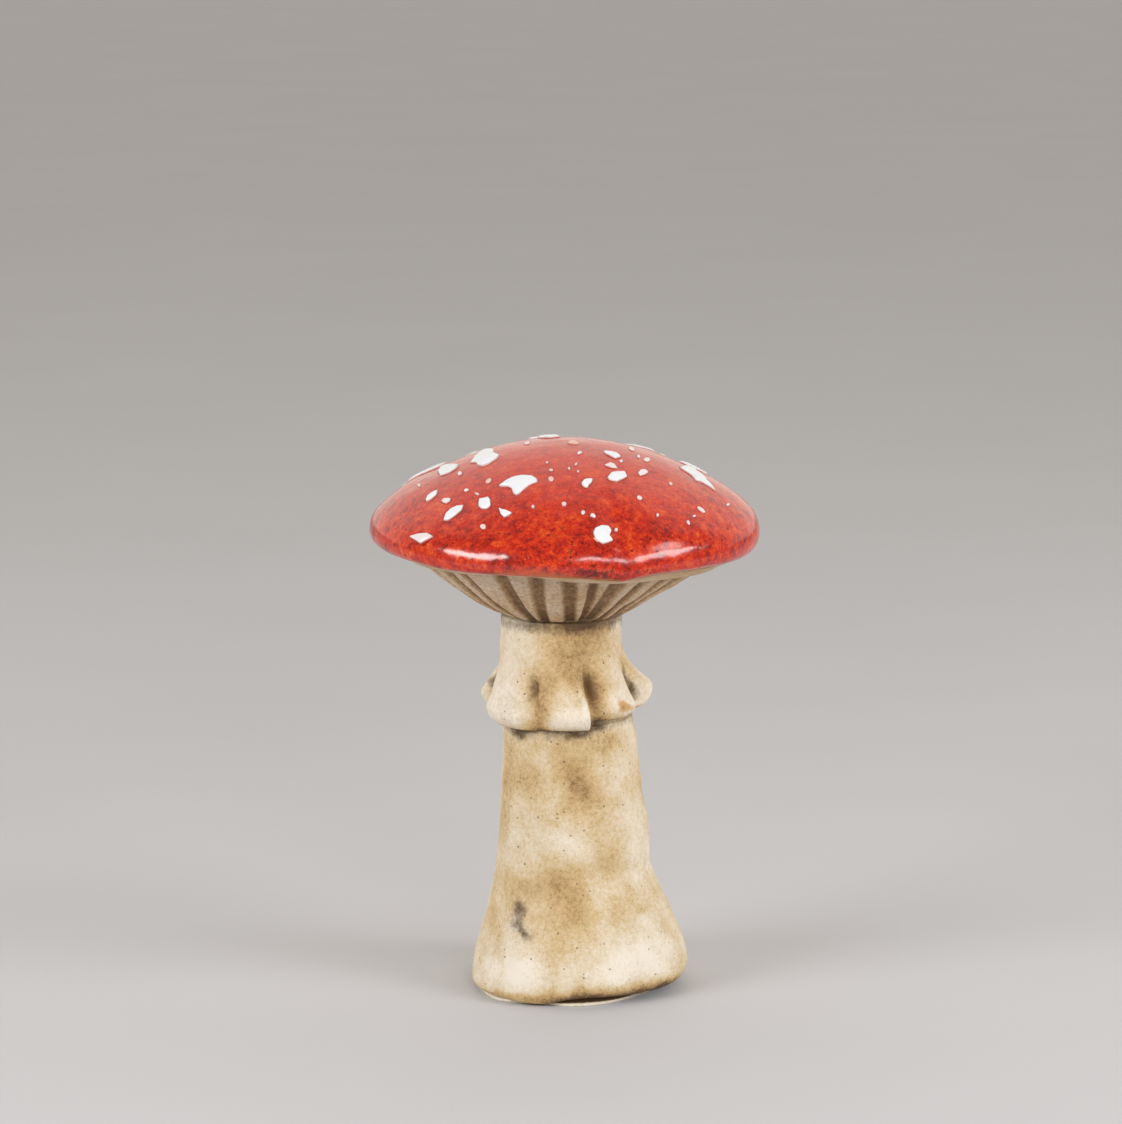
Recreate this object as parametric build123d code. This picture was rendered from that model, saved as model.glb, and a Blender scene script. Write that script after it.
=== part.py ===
from build123d import *
import os
from math import acos, asin, atan2, cos, degrees, exp, hypot, pi, radians, sin, sqrt, tan

os.makedirs("parts", exist_ok=True)

# Ceramic toadstool ornament in millimetres. It stands on z = 0, its cap is centred on the upright
# axis and its front faces -Y. Azimuths are degrees from the front, positive towards +X.

# Clay walls and joints
clay_wall = 3.2
slip_thickness = 0.4      # layer of joining slip in each luted seam
slip_setback = 0.2        # slip stays this far inside the edge of its seam
spigot_gap = 0.15         # room round the spigot for wet clay to slide

# Base plate
base_thickness = 1.2
base_setback = 0.3        # plate edge stays this far inside the edge of the sole
vent_diameter = 4.0

# Stem: a tapered shaft that swells into a bulbous foot and leans towards +X
stem_height = 42.6        # from the sole to the shoulder that carries the collar
shoulder_radius = 10.1
shoulder_lean = 0.6
taper_radius = 14.5       # where the taper of the shaft would reach at the sole
foot_swell = 3.1          # how far the foot stands out of the taper
foot_swell_height = 11.0
foot_lean = 2.5
sole_fillet = 1.2
spigot_radius = 6.4
stem_ring_count = 8

# Collar: plain neck above, pleated frill below, heights above its hem
collar_height = 16.1
neck_radius = 9.7
neck_lean = -0.4
frill_height = 3.6        # where the frill is widest
frill_spread = 3.6        # how far up and down the neck it fades out
frill_swell = 2.1
frill_pleat = 1.8         # how far a pleat stands out of the frill
hem_lean = 0.6
pleat_count = 8
points_per_pleat = 4
collar_ring_count = 8

# Cap, clay sizes without the glaze
cap_radius = 31.0
crown_radius = 43.2
rim_radius = 1.6
underside_angle = 31.4
seam_radius = 9.8         # where the gilled underside meets the neck
lip_radius = 24.6         # where the turned-in rim ends and the gills begin
gill_sag = 0.6            # how far the gilled underside bellies below a straight cone
hub_rise = 1.6            # thickening round the socket, above the inside of the funnel
gill_count = 32
gill_end_gap = 0.7        # plain clay left at both ends of each groove
groove_outer_radius = 1.3
groove_inner_radius = 0.6

# Glaze
glaze_thickness = 0.4
spot_thickness = 0.5

# White flecks: azimuth, place as a share of the way from the top of the dome to its rim, and then
# size round the cap and size down the slope, both as shares of the usual size of their kind
large_spot_size = 4.0
large_spots = [
    (-60, 0.42, 1.40, 1.25), (-21, 0.60, 1.60, 1.10), (11, 0.91, 0.85, 0.85), (79, 0.64, 1.10, 1.80),
    (-74, 0.57, 0.95, 0.95), (-104, 0.66, 1.15, 1.85), (-80, 0.08, 1.05, 0.85), (26, 0.55, 0.90, 0.80),
    (38, 0.35, 0.95, 0.70), (-45, 0.93, 1.15, 0.50), (-40, 0.83, 1.00, 0.55), (128, 0.46, 1.45, 1.15),
    (157, 0.72, 1.15, 1.30), (-150, 0.48, 1.35, 1.20), (-167, 0.85, 1.00, 0.80), (-128, 0.83, 0.90, 0.85),
    (115, 0.84, 1.10, 0.70), (175, 0.28, 1.10, 0.90),
]
medium_spot_size = 2.2
medium_spots = [
    (28, 0.46, 1.1, 1.0), (10, 0.60, 0.8, 1.2), (42, 0.54, 1.1, 0.9), (-30, 0.75, 1.0, 1.3),
    (-20, 0.81, 1.0, 0.9), (-57, 0.76, 1.5, 1.0), (-48, 0.72, 1.0, 0.7), (13, 0.17, 1.0, 0.9),
    (52, 0.84, 1.1, 0.9), (58, 0.45, 1.1, 0.9), (97, 0.45, 1.2, 0.9), (141, 0.62, 1.0, 1.2),
    (-119, 0.50, 1.1, 1.0), (-140, 0.68, 1.3, 0.9), (166, 0.52, 1.0, 1.1), (-176, 0.64, 1.2, 0.8),
    (103, 0.72, 0.9, 1.1), (-158, 0.27, 1.0, 1.0), (143, 0.90, 1.1, 0.8), (-92, 0.88, 1.1, 0.8),
]
small_spot_count = 60
small_spot_size = 1.1
small_spot_spread = 0.3   # share by which drops are larger or smaller than that
small_spot_room = 0.7     # clear glaze left between a small drop and any other fleck
small_spot_reach = 0.92   # the lowest drops lie this share of the way down to the rim
fleck_points = 10         # points on the outline of a fleck
fleck_dent = 0.15         # how far its outline is dented, as a share of its size

# Heights of the seams, from the table up
slope = radians(underside_angle)
sole_z = base_thickness + slip_thickness
shoulder_z = sole_z + stem_height
hem_z = shoulder_z + slip_thickness
neck_top_z = hem_z + collar_height
cap_z = neck_top_z + slip_thickness

# Sizes that follow from the driving dimensions
foot_radius = taper_radius + foot_swell
sole_radius = foot_radius - sole_fillet
base_radius = sole_radius - base_setback
socket_radius = spigot_radius + spigot_gap
spigot_bore_radius = spigot_radius - clay_wall
rim_x = cap_radius - rim_radius
rim_z = cap_z + (rim_x - seam_radius) * tan(slope) + rim_radius / cos(slope)
crown_z = rim_z - sqrt((crown_radius - rim_radius) ** 2 - rim_x**2)
crown_sweep = degrees(asin(rim_x / (crown_radius - rim_radius)))
glaze_crown_radius = crown_radius + glaze_thickness
funnel_radius = lip_radius - slip_thickness * cos(slope)


def on_underside(radius, depth=0.0):
    """Point of the cap's straight underside at a radius, moved into the clay square to the slope."""
    height = cap_z + (radius - seam_radius) * tan(slope)
    return (radius - depth * sin(slope), height + depth * cos(slope))


hub_radius = socket_radius + clay_wall
hub_foot = on_underside(hub_radius + clay_wall * sin(slope), clay_wall)
hub_top_z = hub_foot[1] + hub_rise


def turned(*edges):
    """Solid of revolution from a closed outline whose points are (radius, height)."""
    return revolve(Plane.XZ * make_face(edges), Axis.Z)


def upright_tube(outer_radius, inner_radius, low, high, lean=0.0):
    """Round tube between two heights, with its bore on the axis and its outside moved by the lean."""
    middle = (low + high) / 2
    outside = Pos(lean, 0, middle) * Cylinder(outer_radius, high - low)
    return outside - Pos(0, 0, middle) * Cylinder(inner_radius, high - low)


def stem_body(inset, height):
    """Smooth body through evenly spaced rings of the stem, drawn in by an inset, up to a height."""
    rings = []
    for number in range(stem_ring_count):
        rise = height * number / (stem_ring_count - 1)
        share = rise / height
        radius = taper_radius + (shoulder_radius - taper_radius) * share
        radius += foot_swell * exp(-((rise / foot_swell_height) ** 2))
        lean = foot_lean + (shoulder_lean - foot_lean) * share
        rings.append(Pos(lean, 0, sole_z + rise) * Circle(radius - inset))
    return loft(rings)


def make_base_plate():
    """Flat disc under the hollow foot, with the vent hole that lets kiln gases out."""
    disc = Cylinder(base_radius, base_thickness) - Cylinder(vent_diameter / 2, base_thickness)
    return Pos(foot_lean, 0, base_thickness / 2) * disc


def make_base_slip():
    """Ring of slip between the plate and the sole of the stem."""
    outside = Cylinder(base_radius - slip_setback, slip_thickness)
    inside = Cylinder(foot_radius - clay_wall + slip_setback, slip_thickness)
    return Pos(foot_lean, 0, base_thickness + slip_thickness / 2) * (outside - inside)


def make_stem():
    """Hollow shaft with a bulbous foot, a shoulder for the collar and a hollow spigot for the cap."""
    outside = stem_body(0.0, stem_height)
    outside = fillet(outside.edges().group_by(Axis.Z)[0], sole_fillet)
    hollow = stem_body(clay_wall, stem_height - clay_wall)
    spigot_low = shoulder_z - clay_wall
    spigot_place = Pos(0, 0, (spigot_low + hub_top_z) / 2)
    spigot = spigot_place * Cylinder(spigot_radius, hub_top_z - spigot_low)
    bore = spigot_place * Cylinder(spigot_bore_radius, hub_top_z - spigot_low)
    return outside - hollow + spigot - bore


def make_collar_slip():
    """Ring of slip on the shoulder of the stem, under the collar."""
    return upright_tube(shoulder_radius - slip_setback, socket_radius, shoulder_z, hem_z, shoulder_lean)


def pleated_ring(rise):
    """Outline of the collar at a height above its hem: pleats with narrow pinches between them."""
    frill = exp(-(((rise - frill_height) / frill_spread) ** 2))
    lean = hem_lean + (neck_lean - hem_lean) * rise / collar_height
    steps = points_per_pleat * pleat_count
    points = []
    for step in range(steps):
        angle = 2 * pi * step / steps
        reach = neck_radius + frill * (frill_swell + frill_pleat * abs(cos(pleat_count * angle / 2)))
        points.append((reach * sin(angle), -reach * cos(angle)))
    return Pos(lean, 0, hem_z + rise) * make_face(Spline(points, periodic=True))


def make_neck_collar():
    """Sleeve over the spigot: plain round neck that flares into the pleated frill."""
    last = collar_ring_count - 1
    body = loft([pleated_ring(collar_height * number / last) for number in range(collar_ring_count)])
    return body - Pos(0, 0, (hem_z + neck_top_z) / 2) * Cylinder(socket_radius, collar_height)


def make_neck_slip():
    """Ring of slip between the top of the neck and the gilled funnel."""
    return upright_tube(neck_radius - abs(neck_lean) - slip_setback, socket_radius, neck_top_z, cap_z)


def make_gill_cone():
    """Gilled funnel that closes the cap from below, with a thick hub round the spigot."""
    lowest = on_underside((seam_radius + funnel_radius) / 2, -gill_sag)
    belly = ThreePointArc((seam_radius, cap_z), lowest, on_underside(funnel_radius))
    inside = Polyline(
        on_underside(funnel_radius),
        on_underside(funnel_radius, clay_wall),
        hub_foot,
        (hub_radius, hub_top_z),
        (socket_radius, hub_top_z),
        (socket_radius, cap_z),
        (seam_radius, cap_z),
    )
    return turned(belly, inside) - gill_grooves()


def gill_grooves():
    """Tapered round grooves, evenly spaced along the underside of the funnel."""
    inner_radius = seam_radius + gill_end_gap
    outer_radius = funnel_radius - gill_end_gap
    start_radius, start_z = on_underside(inner_radius, -gill_sag / 2)
    length = (outer_radius - inner_radius) / cos(slope)
    along = Plane(origin=(start_radius, 0, start_z), z_dir=(cos(slope), 0, sin(slope)))
    upwards = (Align.CENTER, Align.CENTER, Align.MIN)
    groove = along * Cone(groove_inner_radius, groove_outer_radius, length, align=upwards)
    return [Rot(0, 0, 360 * number / gill_count) * groove for number in range(gill_count)]


def make_rim_slip():
    """Ring of slip between the funnel and the turned-in rim of the dome."""
    return turned(Polyline(
        on_underside(funnel_radius),
        on_underside(lip_radius),
        on_underside(lip_radius, clay_wall),
        on_underside(funnel_radius, clay_wall),
        close=True,
    ))


def dome_outside(offset):
    """Outside of the dome, from its top round the rim to the lip, moved outwards by an offset."""
    crown = CenterArc((0, crown_z), crown_radius + offset, 90, -crown_sweep)
    rim_turn = crown_sweep + underside_angle - 180
    rim = CenterArc((rim_x, rim_z), rim_radius + offset, 90 - crown_sweep, rim_turn)
    turned_in = Line(rim @ 1, on_underside(lip_radius, -offset))
    return [crown, rim, turned_in]


def make_cap_dome():
    """Hollow clay dome whose rim is turned in towards the gills."""
    joint = on_underside(lip_radius, clay_wall)
    inner_radius = crown_radius - clay_wall
    run = joint[0] * cos(slope) + (joint[1] - crown_z) * sin(slope)
    reach = sqrt(run**2 - hypot(joint[0], joint[1] - crown_z) ** 2 + inner_radius**2) - run
    corner = (joint[0] + reach * cos(slope), joint[1] + reach * sin(slope))
    corner_angle = degrees(atan2(corner[1] - crown_z, corner[0]))
    inside = CenterArc((0, crown_z), inner_radius, corner_angle, 90 - corner_angle)
    return turned(
        *dome_outside(0.0),
        Polyline(on_underside(lip_radius), joint, corner),
        inside,
        Line((0, crown_z + inner_radius), (0, crown_z + crown_radius)),
    )


def make_red_glaze():
    """Skin of glaze over the dome, round its rim and as far as the lip."""
    return turned(
        *dome_outside(0.0),
        *dome_outside(glaze_thickness),
        Line(on_underside(lip_radius), on_underside(lip_radius, -glaze_thickness)),
        Line((0, crown_z + crown_radius), (0, crown_z + glaze_crown_radius)),
    )


def spot_direction(azimuth, share):
    """Unit vector from the middle of the crown's sphere to a place on the dome."""
    turn = radians(azimuth)
    tilt = radians(share * crown_sweep)
    return Vector(sin(tilt) * sin(turn), -sin(tilt) * cos(turn), cos(tilt))


def spot_outline(number, round_size, slope_size):
    """Uneven closed outline of a fleck: every fleck is dented in its own places."""
    points = []
    for step in range(fleck_points):
        angle = 2 * pi * step / fleck_points
        reach = 1 + fleck_dent * (cos(3 * angle + number) + cos(2 * angle + 2 * number))
        points.append((reach * round_size / 2 * cos(angle), reach * slope_size / 2 * sin(angle)))
    return make_face(Spline(points, periodic=True))


def make_spots(spots, usual_size):
    """White flecks as separate low solids seated on the glaze."""
    centre = Pos(0, 0, crown_z)
    outside = centre * Sphere(glaze_crown_radius + spot_thickness)
    inside = centre * Sphere(glaze_crown_radius)
    flecks = []
    for number, (azimuth, share, round_share, slope_share) in enumerate(spots):
        direction = spot_direction(azimuth, share)
        round_dir = (cos(radians(azimuth)), sin(radians(azimuth)), 0)
        below = Vector(0, 0, crown_z) + direction * (crown_radius - usual_size)
        place = Plane(origin=below, x_dir=round_dir, z_dir=direction)
        outline = place * spot_outline(number, round_share * usual_size, slope_share * usual_size)
        column = extrude(outline, 2 * usual_size)
        flecks += ((column & outside) - inside).solids()
    return Compound(flecks)


def clear_of(direction, size, other_direction, other_size):
    """True where clear glaze is left between two flecks, measured along the dome."""
    apart = glaze_crown_radius * acos(min(1.0, direction.dot(other_direction)))
    return apart > (size + other_size) / 2 + small_spot_room


def scatter_small_spots():
    """Small drops at golden-angle steps, kept only where they are clear of every other fleck."""
    taken = []
    for spots, usual_size in ((large_spots, large_spot_size), (medium_spots, medium_spot_size)):
        taken += [(spot_direction(spot[0], spot[1]), usual_size * max(spot[2:])) for spot in spots]
    golden_angle = 180 * (3 - sqrt(5))
    drops = []
    for number in range(small_spot_count):
        azimuth = golden_angle * number
        share = small_spot_reach * sqrt((number + 0.5) / small_spot_count)
        size_share = 1 + small_spot_spread * cos(5 * number)
        size = small_spot_size * size_share
        direction = spot_direction(azimuth, share)
        if all(clear_of(direction, size, other, other_size) for other, other_size in taken):
            taken.append((direction, size))
            drops.append((azimuth, share, size_share, size_share))
    return drops


nodes = {
    "base_plate": make_base_plate(),
    "base_slip": make_base_slip(),
    "stem": make_stem(),
    "collar_slip": make_collar_slip(),
    "neck_collar": make_neck_collar(),
    "neck_slip": make_neck_slip(),
    "gill_cone": make_gill_cone(),
    "rim_slip": make_rim_slip(),
    "cap_dome": make_cap_dome(),
    "red_glaze": make_red_glaze(),
    "spots_large": make_spots(large_spots, large_spot_size),
    "spots_medium": make_spots(medium_spots, medium_spot_size),
    "spots_small": make_spots(scatter_small_spots(), small_spot_size),
}
for name, shape in nodes.items():
    export_step(shape, f"parts/{name}.step")
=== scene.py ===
import math
from itertools import product

import bpy
import numpy as np
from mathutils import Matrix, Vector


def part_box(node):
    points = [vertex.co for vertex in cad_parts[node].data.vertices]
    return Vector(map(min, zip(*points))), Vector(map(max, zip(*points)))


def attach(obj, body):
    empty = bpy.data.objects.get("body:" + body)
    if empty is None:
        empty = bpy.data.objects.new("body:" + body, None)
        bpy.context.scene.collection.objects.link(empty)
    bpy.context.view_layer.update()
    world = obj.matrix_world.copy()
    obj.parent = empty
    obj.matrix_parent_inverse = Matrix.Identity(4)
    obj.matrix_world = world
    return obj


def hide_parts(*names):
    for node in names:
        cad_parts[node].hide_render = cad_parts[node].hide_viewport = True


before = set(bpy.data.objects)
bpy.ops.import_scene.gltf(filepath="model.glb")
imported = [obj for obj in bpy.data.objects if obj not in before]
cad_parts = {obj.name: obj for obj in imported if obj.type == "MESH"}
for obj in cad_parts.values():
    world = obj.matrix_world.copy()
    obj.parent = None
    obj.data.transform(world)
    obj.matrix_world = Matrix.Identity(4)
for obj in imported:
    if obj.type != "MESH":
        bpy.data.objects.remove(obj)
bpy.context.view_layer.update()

# Looks of the ceramic toadstool ornament. Sizes are millimetres until a mesh is made, in the part's
# own frame: z = 0 is the table and the front faces -Y. Azimuths are degrees from the front, positive
# towards +X.
mm = 0.001


def node_box(node):
    """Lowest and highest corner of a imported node, in millimetres."""
    return [np.array(corner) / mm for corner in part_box(node)]


# Camera, set so that the photo and the render show the same outline
photo_width = 1122
photo_height = 1124
focal_pixels = 4405.0
camera_pitch = math.radians(9.5)
camera_distance = 700.0
camera_side = -0.56
aim_height = 69.16
sensor_width = 36.0
camera_rise = camera_distance * math.tan(camera_pitch)
camera_place = np.array([camera_side, -camera_distance, aim_height + camera_rise])

# Cap, with its glaze
cap_radius = node_box("red_glaze")[1][0] - 0.03
crown_top = node_box("red_glaze")[1][2]
crown_radius = 43.6
crown_middle = np.array([0.0, 0.0, crown_top - crown_radius])
glaze_thickness = 0.4
clay_wall = 3.2
seam_z = node_box("gill_cone")[0][2]
seam_radius = 9.8
lip_radius = node_box("rim_slip")[1][0]
underside_slope = math.radians(31.4)
flat_lip_z = seam_z + (lip_radius - seam_radius) * math.tan(underside_slope)
lift_start = 19.0         # the dome keeps its round shape inside this radius
cap_turns = 420           # points round the cap
glaze_levels = (90, 18, 16)    # rings on the crown, on each half of the rim and on the lip
clay_levels = (40, 8, 6)  # the same for the clay under the glaze
bead_levels = 13          # rings of the lip that the bead of clay covers
low_z = 88.0              # the glaze grows deeper in colour below this height
edge_z = 74.6             # and pools below this one
pool_azimuth = 4          # middle and width of the place where it pools most
pool_spread = 26
thin_azimuth = -9         # and of the place where it is thinnest
thin_spread = 15

# How the hand-made rim differs from a turned one, as (azimuth, size) pairs
rim_shoulder = [
    (-170, 3.4), (-125, 4.2), (-92, 4.5), (-70, 4.8), (-48, 5.2), (-25, 5.6), (-5, 6.2), (12, 6.8),
    (30, 6.8), (50, 6.2), (72, 5.8), (95, 5.5), (130, 4.2),
]
rim_roundness = [
    (-170, 2.4), (-125, 2.7), (-92, 2.8), (-65, 2.2), (-48, 1.6), (-20, 1.5), (2, 1.7), (12, 1.7),
    (21, 1.4), (35, 1.3), (50, 1.9), (70, 2.9), (92, 3.6), (130, 2.8),
]
rim_dent = [(-150, 0.15), (-95, 0), (-62, 0.2), (-30, 0.1), (8, 0.2), (32, 0.1), (90, 0), (150, 0.2)]
rim_lift = [
    (-170, 0.4), (-125, 0.8), (-92, 0.9), (-72, 0.6), (-52, 0.1), (-40, -0.3), (-25, -0.2), (2, 0.1),
    (9, 0), (14, -0.3), (17.5, -0.8), (21.5, -0.4), (28, 0), (42, 0.1), (60, 0.5), (75, 0.8), (92, 0.9),
    (130, 0.7),
]
lip_lift = [
    (-150, 0.3), (-110, 0.4), (-75, 0.4), (-53, 0.6), (-37, 0.65), (-28, 1.2), (-17, 1.15), (-7, 0.95),
    (2, 0.45), (18, -0.1), (32, -0.15), (45, -0.15), (58, -0.4), (75, -0.5), (110, -0.3), (150, 0),
]
glaze_lump = 0.08

# White flecks seen in front, as outlines in pixels of the photo
fleck_height = {"large": 0.46, "medium": 0.42, "small": 0.26}
fleck_points = {"large": 72, "medium": 48, "small": 24}
fleck_rings = (0.3, 0.55, 0.74, 0.87, 0.95, 0.985, 1.0)    # shares of the way to their edge
fleck_skirt = ((0.02, 1.38), (-0.25, 1.5))    # height and mark of the dark edge round them: stain and painted shadow
fleck_corner = 0.22       # how much their outline is rounded
fleck_halo = {"large": 0.2, "medium": 0.18, "small": 0.12}    # width of the dark edge: stain and painted shadow
large_outlines = {
    "upper_left": [
        (470, 463.6), (474.2, 458), (478.4, 453.8), (484.7, 450.2), (494, 449.4), (493.4, 452.6),
        (499.9, 455.8), (497.3, 459.2), (488.2, 465), (482.6, 467.1), (477.5, 465.7), (476.3, 462.9),
    ],
    "middle_left": [
        (498, 486), (505.7, 480.4), (512.8, 476.9), (521.9, 475.2), (532.4, 475.8), (537.3, 479),
        (538, 482.5), (528.9, 486), (522.6, 491), (517, 495.9), (513.5, 494.5), (511.4, 488.8),
        (507.1, 486.7),
    ],
    "front": [
        (592.9, 533), (595, 528.1), (601.3, 525.3), (609, 526), (611.8, 530.2), (609.7, 535.8),
        (613.2, 540.8), (608.3, 542.9), (602.7, 544.3), (597.8, 541.5), (594.3, 537.2),
    ],
    "far_left": [
        (438.4, 471.8), (441.2, 467.6), (448.2, 465.2), (458.8, 464.8), (458.3, 468), (451, 472.7),
        (441.2, 476.9), (439.1, 474.1),
    ],
    "middle_right": [
        (607.2, 477.6), (610.4, 473.4), (616.7, 472), (625.2, 472), (627.3, 476.9), (622.4, 479.7),
        (616.7, 481.8), (611.1, 481.1), (608.3, 479.7),
    ],
    "upper_right": [
        (602.7, 451.7), (611.1, 452.4), (618.1, 454.5), (620.9, 457.3), (615.3, 459), (610.4, 456.6),
        (606.2, 454.5),
    ],
    "rim_left": [
        (409.6, 537.2), (418.8, 534.4), (428.6, 533.7), (434.2, 537.2), (425.8, 541.5), (420.9, 544),
        (415.9, 540.8),
    ],
    "right_slope": [
        (679.2, 467.6), (682.5, 466.2), (688.3, 466), (691.8, 468.8), (695, 472), (700.9, 475.4),
        (706, 480), (709.3, 485), (716, 492.4), (707.9, 486.7), (702.3, 483.2), (695.3, 481.1),
        (691.8, 476.2), (685.5, 472), (680.6, 469.2),
    ],
    "leaf": [
        (443.7, 521.1), (445.4, 514.8), (451, 509.2), (458, 505.7), (463.9, 505), (462.2, 509.9),
        (455.2, 516.2), (448.2, 521.1),
    ],
}
medium_outlines = {
    "square": [
        (478.4, 503.6), (479.1, 498.7), (483.3, 498.2), (488.2, 496.8), (490.3, 499.4), (490.7, 505.7),
        (487.5, 509.2), (481.2, 508.9), (478.4, 506.4),
    ],
    "wedge": [
        (498.5, 508.1), (500.8, 509.9), (505.7, 510.6), (512.5, 513.7), (508.5, 516.2), (504.3, 517.9),
        (500.8, 514.8),
    ],
    "small_leaf": [
        (425.8, 501.5), (427.2, 497.3), (432.8, 493.1), (438.1, 490.2), (436.7, 495.2), (430.7, 500.1),
    ],
    "bean": [
        (441.5, 501.5), (444, 499.1), (451, 498.7), (450.3, 501.5), (446.8, 503.6), (443.3, 503.3),
    ],
    "middle": [
        (581.4, 483.2), (583.8, 480.1), (588.7, 479), (592.9, 479), (591.8, 482.5), (588.7, 485.6),
        (587.3, 488.4), (583.8, 487.4), (581.7, 485.3),
    ],
    "right": [
        (637.8, 473.4), (639.9, 470.6), (644.8, 470.2), (648.3, 472.7), (644.8, 475.2), (639.9, 476.2),
    ],
    "above_right": [
        (604.1, 465.7), (609.7, 463.2), (614.6, 465), (617.4, 468.8), (611.1, 468.2),
    ],
}
traced_flecks = {"large": large_outlines, "medium": medium_outlines}
thin_flecks = {"rim_left": 0.22, "above_right": 0.3, "bean": 0.2, "right": 0.15}
# Small flecks seen in front: centre, length and width in pixels of the photo, and their tilt in degrees
traced_drops = [
    (701, 510, 12, 3.6, 35), (573, 443.5, 13, 4, 5), (646.5, 460, 8, 5, 0), (488.5, 481, 8, 4.5, -35),
    (551, 479, 7, 6, 0), (483, 526.5, 7, 6.5, 0), (639.5, 498, 7, 4.5, 30), (583, 512.5, 5, 5, 0),
    (593, 516, 7, 4.5, 30), (616, 530, 4.5, 4.5, 0), (460, 474, 6, 4, -30), (527, 443.5, 7, 3, -5),
    (579.5, 453.5, 6, 3, -20), (631.5, 449.5, 8, 3, 25), (670.5, 484, 5, 3, 40), (688, 523, 6, 3, 55),
    (694, 516.5, 4, 2.4, 0), (657.5, 515, 3.4, 4, 0), (564, 504, 6, 5, 0), (533, 507, 4, 4, 0),
    (477, 494, 6, 3, 15), (466.5, 490.5, 6, 3, -15), (419.5, 485.6, 4, 4, 0), (621, 461.5, 4, 3, 0),
    (638.5, 457, 4, 3, 30), (727.5, 505, 4, 3, 0), (551, 470.5, 5, 2.2, 0), (569, 469, 3, 3, 0),
    (578, 472, 3, 2.4, 0), (547, 463, 3, 2, 0), (576, 464.5, 4, 2, -40),
]
# Other flecks: azimuth, share of the way from the top to the rim, size round the cap, size down the slope
turned_flecks = {
    "large": [
        (106, 0.64, 3.6, 4.6), (-105, 0.7, 4.4, 7.2), (-143, 0.125, 2.8, 3.4), (130, 0.48, 5.4, 4.6),
        (157, 0.72, 4.6, 5.2), (-150, 0.48, 5.4, 4.8), (-167, 0.85, 4, 3.2), (-128, 0.83, 3.6, 3.4),
        (118, 0.84, 4.4, 2.8), (175, 0.4, 4.4, 3.6),
    ],
    "medium": [
        (126, 0.7, 2.6, 2), (143, 0.66, 2.2, 2.6), (-126, 0.55, 2.4, 2.2), (-140, 0.7, 2.9, 2),
        (166, 0.56, 2.2, 2.4), (-176, 0.64, 2.6, 1.8), (112, 0.74, 2, 2.4), (-156, 0.34, 2.2, 2.2),
        (143, 0.9, 2.4, 1.8), (-112, 0.88, 2.4, 1.8),
    ],
}
hidden_drop_count = 30
hidden_drop_range = (118, 242)
hidden_drop_size = 0.9

# Gills: azimuth of a groove at the lip, azimuth at the neck, and width at the lip
front_grooves = [
    (-44, -40, 1.7), (-26, -28, 2.6), (-10.5, -18, 2.7), (1.5, 5, 2.9),
    (11.5, 15, 1.7), (22, 20.5, 3.2), (34, 31, 2), (45, 43, 2),
]
hidden_groove_range = (56, 305)
hidden_groove_count = 23
groove_depth = 1.0
gill_inset = 0.3          # how far the gills end inside the lip
gill_lap = 0.25           # and how far above it
# Power of the underside's rise from the neck to the lip: more than 1 is a belly
gill_belly = [(-170, 1.2), (-90, 1.3), (-40, 1.4), (0, 1.3), (40, 1.1), (75, 1.02), (120, 1.1)]
gill_turns = 960
gill_levels = 64
hub_top_z = 66.0
socket_radius = 6.55

# Collar: left and right edge of the neck at each height
collar_top_z = node_box("neck_collar")[1][2]
collar_seat_z = node_box("collar_slip")[1][2]
neck_edges = [
    (61.2, -10.3, 9.3), (58, -10.3, 9.3), (55, -10.4, 9.3), (50, -10.2, 9.8), (44, -9.7, 10.6),
]
# Lobes of the frill: azimuth where the lobe starts, height of its hem, height of its belly, reach of its
# belly from the axis, reach of the valley where it starts, height where it leaves the neck, the shares
# of its width over which its left and right edge rise, and the power of its flare: more than 1 is hollow
collar_lobes = [
    (-160, 44.8, 47.5, 12.9, 11, 53, 0.4, 0.15, 1.2),
    (-125, 45, 47.8, 13.7, 10.8, 52.6, 0.4, 0.2, 0.9),
    (-90, 43.3, 46, 13, 10.9, 54, 0.16, 0.3, 1.3),
    (-25, 43.6, 46.2, 12.8, 11.6, 55, 0.4, 0.08, 1.2),
    (21, 45, 47.3, 12.7, 10.9, 55, 0.45, 0.12, 1.2),
    (69, 45.6, 49.4, 14.3, 10.9, 55.6, 0.4, 0.25, 1.9),
    (115, 44.6, 47.5, 13, 11.2, 54, 0.4, 0.12, 1.3),
    (160, 44.2, 47, 12.9, 11.3, 53, 0.4, 0.2, 1.2),
]
hem_least = 10.5          # reach of the hem where the frill is flat
hem_spread = 0.25         # how much of the belly's reach beyond that the hem keeps
core_radius = 10.38       # clay above the seam, flush with the top of the stem
core_shift = 0.5
core_lap = 0.03           # it ends this far above the stem
collar_turns = 480
collar_levels = 120
neck_stain_and_shade_z = 57.4       # the neck darkens above this height towards the seam: stain and painted shade under the cap
neck_band_z = 53.0        # a faint brown band runs round it here
plate_z = 51.0            # the lobes are wiped pale below this height
front_azimuth = 14        # middle and width of the brown front of the neck
front_spread = 40
seam_azimuth = 26         # the seams are darkest here
# Pockets between lobes: azimuth, height, half width, half height, depth
pockets = [(-26.5, 50.3, 0.9, 1.8, 1.2), (22, 50.3, 0.9, 2.1, 1.1), (70, 49.5, 0.9, 2.6, 0.9)]
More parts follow.
